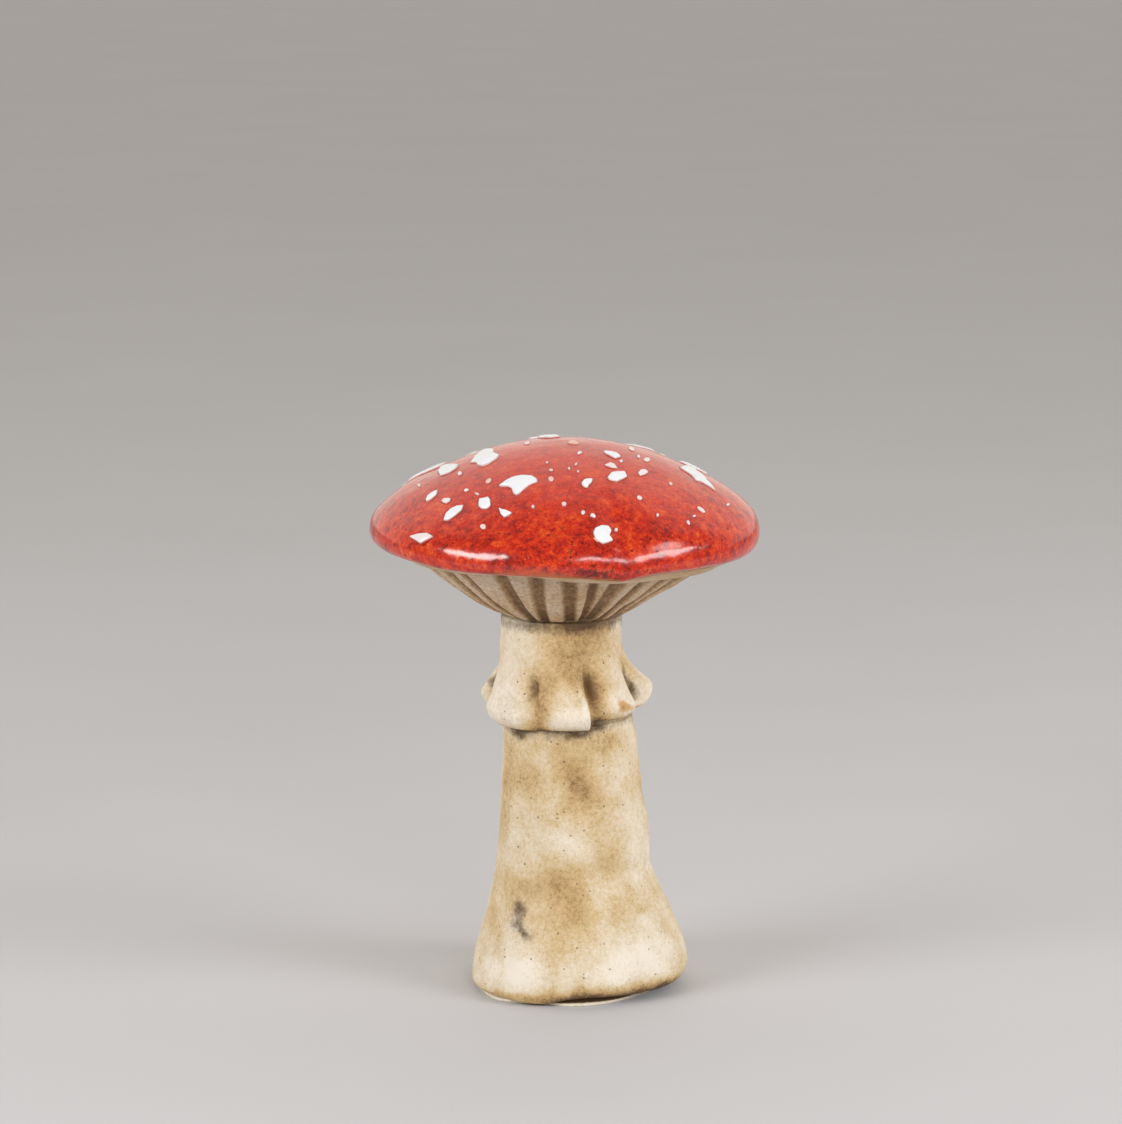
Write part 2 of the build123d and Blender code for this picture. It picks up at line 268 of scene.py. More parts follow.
# Stains on the collar: azimuth, height, half width, half height, strength
collar_washes = [
    (29, 49.8, 1.5, 2.2, 0.14), (10, 54.5, 6.5, 4, 0.1), (-10, 50.8, 2.2, 1.4, 0.14),
    (3, 49.6, 2, 1.8, -0.3), (-22, 46.6, 0.9, 2.4, 0.16), (38, 45.8, 2.4, 0.8, 0.3),
    (31, 47.4, 1.5, 1.8, 0.12), (80, 52.5, 1.4, 2.4, 0.15), (-32, 44, 4, 0.8, 0.2),
    (-66, 50.5, 1.6, 2, 0.1), (-16, 47.8, 1.6, 2.6, 0.24), (52, 51.2, 2.6, 3.6, -0.22),
    (-50, 49, 4, 4, -0.12), (5, 46.8, 2.8, 2.6, -0.1), (16, 48.8, 0.8, 2.4, -0.3),
    (92, 49, 3, 3, -0.2), (-55, 56.5, 4, 5, -0.14), (46, 48, 2.6, 1.8, -0.14),
    (-108, 48.6, 2, 2.4, -0.25),
]
# Dark marks on the collar, in the same form: stains, and darker places in the pockets and valleys between
# lobes
collar_dark_marks = [
    (74.5, 48.2, 0.55, 2, 0.66), (72.5, 51.6, 0.45, 2.4, 0.5), (-93, 49.6, 0.5, 2.2, 0.6),
    (20.5, 50.8, 0.6, 1.6, 0.24), (-27, 50.2, 0.8, 1.7, 0.54), (26, 45.3, 1.2, 0.7, 0.45),
    (60, 45.4, 2, 0.6, 0.35), (-52, 47, 4, 4, 0.2), (12, 48.6, 0.5, 0.5, 0.3),
    (46.5, 47, 0.5, 0.5, 0.4),
]
collar_rust = [(47.5, 47.4, 1.3, 1.1, 0.9), (54, 46.5, 2, 0.7, 0.6)]

# Stem: left and right edge at each height
stem_edges = [
    (45, -9.9, 10.8), (40, -9.8, 11.6), (33, -9.95, 12.4), (28, -10.45, 13.2), (23.5, -10.9, 13.6),
    (20, -11.3, 13.65), (16.7, -11.6, 15.2), (12, -12.5, 17.4), (7.5, -13.75, 19.3), (4, -14.75, 20.15),
    (0.5, -15.1, 20.15),
]
stem_top_z = node_box("collar_slip")[0][2]
sole_z = node_box("base_slip")[1][2]
apron_z = 0.5             # the foot's lower edge hangs a little over the disc
apron_lift = [
    (-150, 0.3), (-90, 0.1), (-60, 0), (-40, 0.05), (-30, -0.25), (-17, -0.2), (-9, 0.45), (3, 0.75),
    (18, 0.7), (30, 0.6), (50, 0.6), (68, 0.5), (85, 0.7), (115, 0.6), (150, 0.3),
]
apron_lip = 0.5
disc_inset = [
    (-150, 0.8), (-90, 0.5), (-60, -0.1), (-43, -0.8), (-34, 0.3), (-27, 0.8), (-18, 0.8), (-8, -0.5),
    (0, -0.8), (12, -0.3), (25, 0.8), (40, 1.8), (60, 1.8), (110, 1.8), (150, 1.2),
]
# Rounded edge of the disc, as (inset, height), and the gap between the disc and the lip of the foot
disc_edge = [(0.25, 0), (0.05, 0.1), (0, 0.3), (0.05, 0.46)]
disc_edge_top = 0.5
disc_gap = 0.12
base_top_z = node_box("base_plate")[1][2]
spigot_radius = 6.4
spigot_bore = 3.2
vent_radius = 2.0
# How the foot differs from a round one, as (azimuth, share of its radius), and how round its sole is
foot_shape = [
    (-140, 0.98), (-90, 1), (-49, 1.1), (-35, 1.12), (-20, 1.09), (-6, 1.05), (4, 1.03),
    (13, 1.02), (24, 1.01), (37, 1), (53, 1), (70, 1), (90, 1), (140, 0.97), (180, 1),
]
foot_shape_top = 22.0
sole_roundness = [
    (-150, 1.4), (-90, 1.4), (-50, 1), (-20, 1.2), (0, 1.4), (30, 1.6), (50, 1.8), (68, 2.2),
    (90, 2.6), (140, 1.6),
]
stem_turns = 360
stem_levels = 150
stem_lump = 0.28
hollow_foot_z = 6.0       # below this height the hollow grows no wider
hem_stain_and_shade_z = 42.9       # the stem darkens above this height, under the hem: stain and painted shade
# painted shade on the sole and on the disc's seat, in the gap under the foot's lip
sole_soot = 0.9
back_middle = 1.5         # the stains at the back are those in front, turned over at this place

# Stains on the front of the stem: across and up, half sizes across and up, strength. The one at 41.5 up,
# right under the hem, is partly painted shade.
stem_washes = [
    (2, 35, 5, 5.6, 0.41), (2.6, 34.4, 2.4, 2.6, 0.26), (-6.8, 34, 3.6, 8, 0.22),
    (0.5, 41.5, 8, 1.8, 0.22), (6.5, 40.5, 2.5, 2, 0.15), (7.3, 22.8, 2.8, 3.6, 0.2),
    (-1.6, 16.6, 6, 5.4, 0.26), (2.4, 14.2, 2.6, 2.2, 0.16), (-0.5, 19.4, 2.6, 1.8, 0.12),
    (8.8, 14.8, 4.4, 2.6, 0.16), (12.2, 14.2, 1, 1, 0.22), (-1.5, 7.5, 2.6, 4, 0.18),
    (1, 1.4, 7, 1.3, 0.75), (-9, 1.2, 5, 0.9, 0.4), (13, 1.9, 6, 1.5, 0.6),
    (-10.3, 7, 0.7, 5, 0.18), (12.6, 29, 1.6, 4, 0.12), (-9.2, 33, 1, 10, 0.22),
    (-9.6, 17, 1.6, 7, 0.14),
]
# Bare pale patches, in the same form
stem_bare = [
    (10, 35.5, 3, 8, 0.02), (1, 26, 5.4, 2.6, 0.04), (11.5, 24, 1.6, 3, 0.14),
    (11.9, 7.6, 6.4, 4.6, 0.22), (-8.4, 4.6, 5, 4, 0.26), (-3, 38.5, 1.6, 1.6, 0.14),
    (-2.4, 33.5, 1.8, 1.4, 0.12), (-6.5, 25.5, 3, 3, 0.08), (3.5, 5, 5, 2, 0.14),
]
# Dark marks in the same form: stains, with painted shade under the hem in the first four and along the
# foot's lower edge at 3.5 and 14.5 across, partly stain there too
stem_dark_marks = [
    (-7.2, 42.9, 2.2, 1.2, 0.8), (-3, 43.2, 2.6, 0.8, 0.4), (1.9, 42.9, 2.8, 1.2, 0.75),
    (5.2, 44.2, 1.3, 0.8, 0.45), (-7.2, 14.9, 1.5, 1.3, 0.62), (-7.8, 12.6, 1.3, 1.5, 0.54),
    (-6.3, 11.1, 1.8, 1, 0.58), (3.5, 1.2, 6.5, 0.7, 0.8), (14.5, 1.4, 5.5, 0.9, 0.7),
    (1.2, 34.8, 1.4, 1.4, 0.3), (3.4, 33, 1.2, 1.6, 0.26), (13.5, 20.2, 0.7, 1.3, 0.36),
]

# Windows of the studio: azimuth, elevation, width and height in metres, and power in watts
windows = {
    "left_window": (-56, 21, 0.6, 0.22, 4.6),
    "front_window": (19, 19, 0.38, 0.12, 1.15),
    "right_window": (60, 21, 0.78, 0.19, 3.6),
    "right_upper_window": (66, 36, 0.3, 0.26, 1.0),
}
window_distance = 0.9
window_aim = 0.05         # height that they face
table_half = 6.0          # half the width of the table


def ease(share):
    """Smooth step from 0 to 1."""
    share = np.clip(share, 0.0, 1.0)
    return share**2 * (3 - 2 * share)


def lumps(points, size, seed):
    """Smooth seeded noise between -1 and 1 at points, with lumps about one size wide."""
    cells = 32
    lattice = np.random.default_rng(seed).uniform(-1, 1, (cells, cells, cells))
    scaled = points / size
    corner = np.floor(scaled).astype(int)
    share = ease(scaled - corner)
    total = np.zeros(points.shape[:-1])
    for step in product((0, 1), repeat=3):
        weight = np.prod(np.where(step, share, 1 - share), axis=-1)
        x, y, z = np.moveaxis((corner + step) % cells, -1, 0)
        total += weight * lattice[x, y, z]
    return total


def read_curve(places, pairs, soft, period=None):
    """Rounded curve through (place, value) pairs, read at places; soft is the width of the rounding."""
    known, values = np.array(pairs, float).T
    order = np.argsort(known)
    offsets = np.linspace(-1.5, 1.5, 13)
    weights = np.exp(-2 * offsets**2)
    total = np.zeros(np.shape(places))
    for offset, weight in zip(offsets, weights / weights.sum()):
        total += weight * np.interp(places + offset * soft, known[order], values[order], period=period)
    return total


def read_edges(height, edges, soft):
    """Half the width between two edges at heights, and how far their middle stands from the axis."""
    left, right = (read_curve(height, [(row[0], row[side]) for row in edges], soft) for side in (1, 2))
    return (right - left) / 2, (left + right) / 2


def around(azimuth, pairs, soft=4.0):
    """Rounded closed curve of sizes round the axis, read at azimuths."""
    return read_curve(azimuth, pairs, soft, period=360)


def place(azimuth, radius, height, shift=0.0):
    """Points at azimuths, radii and heights, with the axis moved towards +X by a shift."""
    turn = np.radians(azimuth)
    parts = np.broadcast_arrays(radius * np.sin(turn) + shift, -radius * np.cos(turn), height)
    return np.stack(parts, axis=-1).astype(float)


def stack(azimuth, outline, shift=0.0):
    """Rings of points, one for each radius and height of an outline."""
    return np.array([place(azimuth, radius, height, shift) for radius, height in outline])


def all_round(count):
    """Evenly spread azimuths."""
    return np.linspace(0, 360, count, endpoint=False)


def azimuth_of(points):
    """Azimuth of points round the axis."""
    return np.degrees(np.arctan2(points[..., 0], -points[..., 1]))


def apart_from(azimuth, centre):
    """Degrees between azimuths and a centre, the short way round."""
    return (azimuth - centre + 180) % 360 - 180


def bell(aside, half_width, rise=0.0, half_height=1.0):
    """Soft hump, 1 in its middle, that fades over a half width and a half height."""
    return np.exp(-((aside / half_width) ** 2) - (rise / half_height) ** 2)


def unit(vectors):
    """Vectors brought to a length of one."""
    return vectors / np.linalg.norm(vectors, axis=-1, keepdims=True)


def closed_skin(rings, loop=False):
    """Points and faces of a closed skin over rings of points. A loop joins the last ring to the first,
    and otherwise each end closes on a point."""
    levels, count = rings.shape[:2]
    grid = np.arange(levels * count).reshape(levels, count)
    above = grid if loop else grid[:-1]
    below = np.roll(grid, -1, axis=0) if loop else grid[1:]
    beside = [np.roll(side, -1, axis=1) for side in (below, above)]
    faces = np.stack([above, below, *beside], axis=-1).reshape(-1, 4).tolist()
    points = rings.reshape(-1, 3)
    if not loop:
        points = np.vstack([points, rings[0].mean(axis=0), rings[-1].mean(axis=0)])
        first, last = levels * count, levels * count + 1
        faces += [[first, a, b] for a, b in zip(grid[0], np.roll(grid[0], -1))]
        faces += [[last, b, a] for a, b in zip(grid[-1], np.roll(grid[-1], -1))]
    triangles = np.array([[f[0], f[k], f[k + 1]] for f in faces for k in range(1, len(f) - 1)])
    a, b, c = (points[triangles[:, k]] - points.mean(axis=0) for k in range(3))
    if np.einsum("ij,ij->", a, np.cross(b, c)) < 0:
        faces = [face[::-1] for face in faces]
    return points, faces


def per_point(values, loop=False):
    """Ring values in the point order of closed_skin."""
    flat = values.ravel()
    return flat if loop else np.concatenate([flat, [values[0].mean(), values[-1].mean()]])


def on_outside(values, rings, fill=0.0):
    """Values of the outer rings, with a fill value for the rings inside."""
    whole = np.full(rings.shape[:2], fill)
    whole[:len(values)] = values
    return whole


def add_object(name, data):
    """New object in the scene."""
    thing = bpy.data.objects.new(name, data)
    bpy.context.scene.collection.objects.link(thing)
    return thing


def add_piece(name, skins, material, slot, replaced, **values):
    """One smooth mesh object from closed skins in millimetres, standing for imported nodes."""
    points = np.vstack([skin[0] for skin in skins])
    faces = []
    start = 0
    for skin_points, skin_faces in skins:
        faces += [[start + int(index) for index in face] for face in skin_faces]
        start += len(skin_points)
    mesh = bpy.data.meshes.new(name)
    mesh.from_pydata((points * mm).tolist(), [], faces)
    mesh.polygons.foreach_set("use_smooth", np.ones(len(faces), bool))
    for title, numbers in values.items():
        layer = mesh.attributes.new(title, "FLOAT", "POINT")
        layer.data.foreach_set("value", np.asarray(numbers, np.float32))
    mesh.materials.append(material)
    piece = add_object(name, mesh)
    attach(piece, "root")
    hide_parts(*replaced)


def add_rings(name, rings, material, slot, node, loop=True, **values):
    """One piece over rings of points, with values for each of them."""
    numbers = {title: per_point(ring_values, loop) for title, ring_values in values.items()}
    add_piece(name, [closed_skin(rings, loop)], material, slot, [node], **numbers)


# Materials

def srgb(red, green, blue):
    """Colour for a shader from its values on a screen, 0 to 255."""
    channels = np.array([red, green, blue]) / 255
    linear = np.where(channels <= 0.04045, channels / 12.92, ((channels + 0.055) / 1.055) ** 2.4)
    return (*linear.tolist(), 1.0)


class Shader:
    """Nodes of a material or a world under construction. Texture scales are in lumps per millimetre."""

    def __init__(self, owner, surface="Principled BSDF"):
        owner.use_nodes = True
        self.tree = owner.node_tree
        self.surface = self.tree.nodes[surface]
        self.space = self.add("ShaderNodeTexCoord", {}, "Object")

    def add(self, kind, inputs, output=0, **settings):
        """New node with its settings and inputs; an input is a value or another node's output."""
        node = self.tree.nodes.new(kind)
        for name, value in settings.items():
            setattr(node, name, value)
        for socket, value in inputs.items():
            self.feed(node.inputs[socket], value)
        return node.outputs[output]

    def feed(self, socket, value):
        """Link an output to a socket, or set the socket's value."""
        if isinstance(value, bpy.types.NodeSocket):
            self.tree.links.new(value, socket)
        else:
            socket.default_value = value

    def paint(self, share, colour, weight=1.0):
        """Blend a colour over the colour so far, by a share and its weight."""
        part = share if weight == 1.0 else self.times(share, weight)
        inputs = {0: part, 6: self.colour, 7: srgb(*colour)}
        self.colour = self.add("ShaderNodeMix", inputs, 2, data_type="RGBA")

    def give(self, values):
        """Feed inputs of the surface."""
        for name, value in values.items():
            self.feed(self.surface.inputs[name], value)

    def dress(self, roughness, specular=0.5):
        """Give the surface its colour, roughness and gloss."""
        self.give({"Base Color": self.colour, "Roughness": roughness, "Specular IOR Level": specular})

    def noise(self, scale, detail=4.0, roughness=0.55, distortion=0.0):
        """Cloudy noise from 0 to 1."""
        inputs = {"Vector": self.space, "Scale": scale / mm, "Detail": detail}
        inputs.update({"Roughness": roughness, "Distortion": distortion})
        return self.add("ShaderNodeTexNoise", inputs)

    def attribute(self, name):
        """Number stored on the mesh."""
        return self.add("ShaderNodeAttribute", {}, "Fac", attribute_name=name)

    def sums(self, first, *terms):
        """Sum of outputs, each times its own weight."""
        total = first
        for output, weight in terms:
            total = self.add("ShaderNodeMath", {0: output, 1: weight, 2: total}, operation="MULTIPLY_ADD")
        return total

    def times(self, first, second):
        """Product of two outputs or numbers."""
        return self.add("ShaderNodeMath", {0: first, 1: second}, operation="MULTIPLY")

    def between(self, value, low, high, to_low=0.0, to_high=1.0):
        """Smooth step of a value from one range to another."""
        inputs = {"Value": value, "From Min": low, "From Max": high, "To Min": to_low, "To Max": to_high}
        return self.add("ShaderNodeMapRange", inputs, interpolation_type="SMOOTHSTEP")

    def ramp(self, value, stops):
        """Start with colours along a value, as rows of place, red, green and blue."""
        self.colour = self.add("ShaderNodeValToRGB", {0: value})
        elements = self.colour.node.color_ramp.elements
        while len(elements) < len(stops):
            elements.new(1.0)
        for element, (position, *colour) in zip(elements, stops):
            element.position = position
            element.color = srgb(*colour)

    def specks(self, scale, size, chance):
        """Scattered round specks: 1 inside a speck, for a share of the cells, each of its own size."""
        cells = {"Vector": self.space, "Scale": scale / mm}
        distance = self.add("ShaderNodeTexVoronoi", cells, "Distance")
        draw = self.add("ShaderNodeSeparateColor", {0: distance.node.outputs["Color"]})
        reach = self.between(draw, 1.0 - chance, 1.0, 0.0, size)
        inside = self.add("ShaderNodeMath", {0: reach, 1: distance}, operation="SUBTRACT")
        return self.between(inside, 0.0, 0.4 * size)

    def bump(self, height, depth):
        """Surface relief from a height, with its depth in millimetres."""
        relief = self.add("ShaderNodeBump", {"Height": height, "Distance": depth * mm, "Strength": 1.0})
        self.give({"Normal": relief})


def clay_material(material, blush=0.0):
    """Unglazed pale clay with a brown wash rubbed into its hollows, a share of pink in it, and painted
    shade.
    """
    shader = Shader(material)
    cloud = shader.noise(0.2, detail=5.0)
    grit = shader.noise(1.35, detail=6.0, roughness=0.75)
    fine = shader.noise(3.4, detail=3.0)
    # the wash mark, partly stain and partly painted shade, sets the tone
    stain_and_shade = shader.sums(shader.attribute("wash"), (cloud, 0.6), (grit, 0.8), (fine, 0.35))
    shader.ramp(shader.sums(stain_and_shade, (1.0, -0.875)), [
        (0.0, 234, 224, 208), (0.25, 220, 204, 178), (0.5, 205, 179, 134), (0.75, 184, 151, 101),
        (1.0, 134, 104, 66),
    ])
    grains = shader.between(shader.sums(grit, (fine, 0.6), (stain_and_shade, 0.35)), 1.34, 1.66)
    shader.paint(grains, (122, 94, 58), 0.32)
    shader.paint(blush, (214, 160, 136))
    rust = shader.between(shader.sums(shader.attribute("rust"), (grit, 0.6)), 0.4, 1.15)
    shader.paint(rust, (194, 142, 66), 0.85)
    # dark marks: soot stains and painted shade
    soot = shader.between(shader.sums(shader.attribute("soot"), (grit, 0.7)), 0.42, 1.2)
    shader.paint(soot, (86, 61, 34))
    dots = shader.specks(0.95, 0.2, 0.5)
    shader.paint(dots, (104, 84, 62), 0.7)
    shader.paint(shader.specks(1.7, 0.24, 0.5), (146, 120, 86), 0.4)
    shader.dress(shader.between(grit, 0.3, 0.7, 0.5, 0.72), specular=0.4)
    relief = shader.sums(shader.times(grit, 0.6), (fine, 0.25), (dots, -0.8), (cloud, 0.6))
    shader.bump(relief, 0.12)
    return material


def red_glaze_material(material):
    """Glossy red glaze, orange where it is thin, brown where iron specks broke through it."""
    shader = Shader(material)
    cloud = shader.noise(0.22, detail=5.0, roughness=0.6, distortion=0.4)
    mottle = shader.noise(0.75, detail=8.0, roughness=0.76)
    grain = shader.noise(2.2, detail=5.0, roughness=0.7)
    low = shader.attribute("low")
    tone = shader.sums(shader.times(cloud, 0.35), (mottle, 0.75), (grain, 0.3))
    spread = shader.sums(0.55, (low, 0.45))
    tone = shader.sums(0.71, (shader.sums(tone, (1.0, -0.69)), spread), (low, -0.02))
    shader.ramp(tone, [
        (0.56, 100, 14, 4), (0.64, 166, 26, 7), (0.71, 200, 40, 10), (0.78, 213, 66, 18),
        (0.88, 228, 112, 44),
    ])
    frost = shader.times(shader.between(grain, 0.6, 0.72), shader.sums(0.5, (low, -0.2)))
    shader.paint(frost, (236, 132, 84))
    iron = shader.noise(1.35, detail=4.0, roughness=0.62)
    pool = shader.between(shader.sums(shader.attribute("pool"), (iron, 2.0), (cloud, 0.5)), 1.54, 1.82)
    shader.paint(pool, (82, 14, 7), 0.85)
    dots = shader.times(shader.specks(1.05, 0.34, 0.5), shader.sums(0.15, (low, 0.7)))
    shader.paint(dots, (92, 16, 8))
    shader.paint(shader.specks(1.25, 0.2, 0.3), (236, 140, 96), 0.5)
    thin = shader.between(shader.sums(shader.attribute("thin"), (mottle, 0.4)), 0.6, 1.2)
    shader.paint(thin, (212, 108, 66), 0.6)
    shader.dress(shader.between(mottle, 0.3, 0.7, 0.15, 0.19), specular=0.65)
    shader.bump(shader.noise(0.3, detail=1.5), 0.14)
    return material


def white_glaze_material(material):
    """Thick white glaze, with a dark edge where it meets the red: stain and painted shadow."""
    shader = Shader(material)
    cloud = shader.noise(0.8, detail=4.0)
    edge = shader.sums(shader.attribute("edge"), (cloud, 0.08))
    shader.colour = srgb(240, 243, 250)
    shader.paint(cloud, (228, 227, 230), 0.5)
    shader.paint(shader.attribute("thin"), (232, 158, 124))
    shader.paint(shader.between(edge, 0.93, 1.04), (206, 150, 136))
    # dark ring round each fleck: stain and painted shadow at its raised edge
    shader.paint(shader.between(edge, 1.02, 1.10), (104, 30, 24))
    shader.paint(shader.between(edge, 1.14, 1.36), (186, 38, 20))
    shader.dress(shader.between(cloud, 0.3, 0.7, 0.08, 0.16))
    shader.bump(cloud, 0.08)
    return material


def slip_material(material):
    """Joining slip, dark with the wash that settled in the seams."""
    shader = Shader(material)
    grit = shader.noise(1.5, detail=6.0, roughness=0.7)
    shader.ramp(grit, [(0.3, 84, 68, 48), (0.5, 128, 102, 68), (0.7, 178, 148, 104)])
    shader.dress(shader.between(grit, 0.3, 0.7, 0.6, 0.8))
    shader.bump(grit, 0.1)
    return material


clay = clay_material(bpy.data.materials.new("stained_clay"))
gill_clay = clay_material(bpy.data.materials.new("gill_clay"), blush=0.24)
red_glaze = red_glaze_material(bpy.data.materials.new("red_glaze"))
white_glaze = white_glaze_material(bpy.data.materials.new("white_glaze"))
slip = slip_material(bpy.data.materials.new("stained_slip"))


# Cap

def rim_weight(radius):
    """How far the rim's lift reaches into the dome."""
    return ease((radius - lift_start) / (cap_radius - 3.0 - lift_start))


def cap_rings(azimuth, depth, levels):
    """Rings of the cap from near its top, round the shoulder and under the rim to the lip, at a depth
    below the glaze, and the way outwards at each point."""
    crown_levels, rim_levels, lip_levels = levels
    shoulder = around(azimuth, rim_shoulder)
    roundness = around(azimuth, rim_roundness)
    widest = cap_radius - around(azimuth, rim_dent)
    turn_z = crown_middle[2] + np.sqrt((crown_radius - shoulder) ** 2 - (widest - shoulder) ** 2)
    sweep = np.arcsin((widest - shoulder) / (crown_radius - shoulder))
    lift = around(azimuth, rim_lift, 2.0)
    lip_z = flat_lip_z + around(azimuth, lip_lift)
    tilt = np.linspace(0, 1, crown_levels + 1)[1:, None] * sweep
    radius = (crown_radius - depth) * np.sin(tilt)
    height = crown_middle[2] + (crown_radius - depth) * np.cos(tilt) + lift * rim_weight(radius)
    share = np.linspace(0, 1, rim_levels + 1)[1:, None]
    upper_turn = (np.pi / 2 - sweep) * (1 - share)
    run = lip_radius - widest + roundness
    drop = lip_z - turn_z - lift
    lower_turn = (np.arctan2(drop, run) + np.arccos(roundness / np.hypot(run, drop))) * share
    turn = np.concatenate([upper_turn, lower_turn])
    last_turn = turn[-1]
    bend = np.concatenate([shoulder - depth + 0 * share, roundness - depth + 0 * share])
    rim_radius = widest - depth - bend + bend * np.cos(turn)
    rim_height = turn_z + lift + bend * np.sin(turn)
    lip_share = np.linspace(0, 1, lip_levels + 1)[1:, None]
    lip_end = (lip_radius - depth * np.cos(last_turn), lip_z - depth * np.sin(last_turn))
    under_radius = rim_radius[-1] + (lip_end[0] - rim_radius[-1]) * lip_share
    under_height = rim_height[-1] + (lip_end[1] - rim_height[-1]) * lip_share
    outward = np.concatenate([np.pi / 2 - tilt, turn, np.repeat(turn[-1:], lip_levels, axis=0)])
    rings = place(azimuth, np.concatenate([radius, rim_radius, under_radius]),
                  np.concatenate([height, rim_height, under_height]))
    return rings, place(azimuth, np.cos(outward), np.sin(outward))


def glaze_relief(points):
    """How far the glaze stands out of a smooth dome."""
    return glaze_lump * (lumps(points, 7.0, 1) + 0.4 * lumps(points, 2.5, 2))


def crown_point(direction, height):
    """Points at a height above the glaze, in directions from the middle of the crown."""
    base = crown_middle + crown_radius * direction
    reach = np.hypot(base[..., 0], base[..., 1])
    lift = around(azimuth_of(base), rim_lift, 2.0) * rim_weight(reach)
    raised = base + direction * (glaze_relief(base) + height)[..., None]
    raised[..., 2] += lift
    return raised


def make_glaze():
    """Skin of red glaze, closed by an inside surface."""
    azimuth = all_round(cap_turns)
    crown_levels, rim_levels, lip_levels = glaze_levels
    lip_start = crown_levels + 2 * rim_levels
    outside, outward = cap_rings(azimuth, 0.0, glaze_levels)
    relief = glaze_relief(outside)
    relief[-lip_levels:] *= np.linspace(1, 0, lip_levels + 1)[1:, None]
    inside = cap_rings(azimuth, glaze_thickness, clay_levels)[0]
    rings = np.concatenate([outside + outward * relief[..., None], inside[::-1]])
    thin = np.zeros(rings.shape[:2])
    thin_front = bell(apart_from(azimuth, thin_azimuth), thin_spread)
    thin[crown_levels:lip_start] = np.linspace(0, 1.2, 2 * rim_levels)[:, None] * thin_front
    thin[lip_start - rim_levels:lip_start] += np.linspace(0, 0.3, rim_levels)[:, None]
    on_lip = np.linspace(0.3, 1, lip_levels)[:, None] ** 2
    thin[lip_start:lip_start + lip_levels] = on_lip + 0.4 * thin_front
    low = ease((low_z - rings[..., 2]) / 12.0)
    edge = ease((edge_z - rings[..., 2]) / 2.5)
    middle = bell(apart_from(azimuth, pool_azimuth), pool_spread)
    pool = low * (0.24 * middle - 0.03) + edge * (0.02 + 0.2 * middle) + 0.1 * lumps(rings, 6.0, 5)
    add_rings("glaze_coat", rings, red_glaze, "red_glaze", "red_glaze", loop=False,
              thin=thin, low=low, pool=pool)


def make_cap_shell():
    """Clay dome under the glaze."""
    azimuth = all_round(cap_turns // 2)
    outside = cap_rings(azimuth, glaze_thickness + 0.02, clay_levels)[0]
    tilt = np.radians(np.linspace(2, 38, 20))[::-1, None]
    inner_radius = crown_radius - glaze_thickness - clay_wall
    inside = place(azimuth, inner_radius * np.sin(tilt), crown_middle[2] + inner_radius * np.cos(tilt))
    joint_radius = lip_radius - clay_wall * math.sin(underside_slope)
    joint_z = flat_lip_z + clay_wall * math.cos(underside_slope) + around(azimuth, lip_lift)
    rings = np.concatenate([outside, stack(azimuth, [(joint_radius, joint_z)]), inside])
    blank = np.zeros(rings.shape[:2])
    add_rings("cap_shell", rings, clay, "clay", "cap_dome", loop=False, wash=blank, soot=blank)


def make_lip():
    """Band of clay under the rim, where the gills are luted to the dome and the glaze was wiped away."""
    line, outward = [rings[-bead_levels:] for rings in cap_rings(all_round(cap_turns), 0.0, glaze_levels)]
    share = np.linspace(0, 1, bead_levels)[:, None]
    swell = share**2 * (0.4 + 0.15 * lumps(line, 6.0, 11)) + 0.06
    outer = line + outward * swell[..., None]
    inner = line - outward * (glaze_thickness + 0.2)
    rings = np.concatenate([outer, inner[::-1]])
    wash = 0.42 + 0.2 * lumps(rings, 3.0, 12)
    wash[:bead_levels] += 0.3 * np.linspace(1, 0, bead_levels)[:, None] ** 2
    soot = np.full_like(wash, 0.06)
    add_rings("lip_bead", rings, gill_clay, "slip", "rim_slip", wash=wash, soot=soot)


# Flecks

def seen_on_crown(pixels):
    """Points of the crown that the photo shows at these pixels."""
    pixels = np.asarray(pixels, float)
    ahead = np.array([0.0, math.cos(camera_pitch), -math.sin(camera_pitch)])
    upward = np.array([0.0, math.sin(camera_pitch), math.cos(camera_pitch)])
    right = np.array([1.0, 0.0, 0.0])
    across = (pixels[:, :1] - photo_width / 2) / focal_pixels
    up = (photo_height / 2 - pixels[:, 1:]) / focal_pixels
    ray = unit(ahead + across * right + up * upward)
    middle = np.tile(crown_middle, (len(pixels), 1))
    for _ in range(3):
        start = camera_place - middle
        along = np.einsum("ij,ij->i", start, ray)
        inside = along**2 - np.einsum("ij,ij->i", start, start) + crown_radius**2
        point = camera_place - ray * (along + np.sqrt(np.maximum(inside, 0.0)))[:, None]
        reach = np.hypot(point[:, 0], point[:, 1])
        middle[:, 2] = crown_middle[2] + around(azimuth_of(point), rim_lift, 2.0) * rim_weight(reach)
    return crown_middle + crown_radius * unit(point - middle)


def rounded_loop(corners, count, soft):
    """Closed rounded curve of points along a rough closed outline."""
    closed = np.vstack([corners, corners[:1]])
    run = np.concatenate([[0.0], np.cumsum(np.linalg.norm(np.diff(closed, axis=0), axis=1))])
    at = np.linspace(0, run[-1], count, endpoint=False)
    axes = [read_curve(at, np.column_stack([run, axis])[:-1], soft, period=run[-1]) for axis in closed.T]
    return np.stack(axes, axis=-1)


def fleck_skin(outline, height, halo):
    """Closed skin of one raised fleck over its outline on the crown, and how near its edge each point is."""
    middle = outline.mean(axis=0)
    spread = outline - middle
    reach = np.linalg.norm(spread, axis=-1, keepdims=True)
    rows = [(share * spread, height * (1 - share**4) ** 0.6 + 0.03, share) for share in fleck_rings]
    rows += [(spread * (1 + halo / reach), rise, mark) for rise, mark in fleck_skirt]
    rings = [crown_point(unit(middle + offset - crown_middle), rise) for offset, rise, _ in rows]
    edges = [np.full(len(outline), mark) for _, _, mark in rows]
    return closed_skin(np.array(rings)), per_point(np.array(edges))


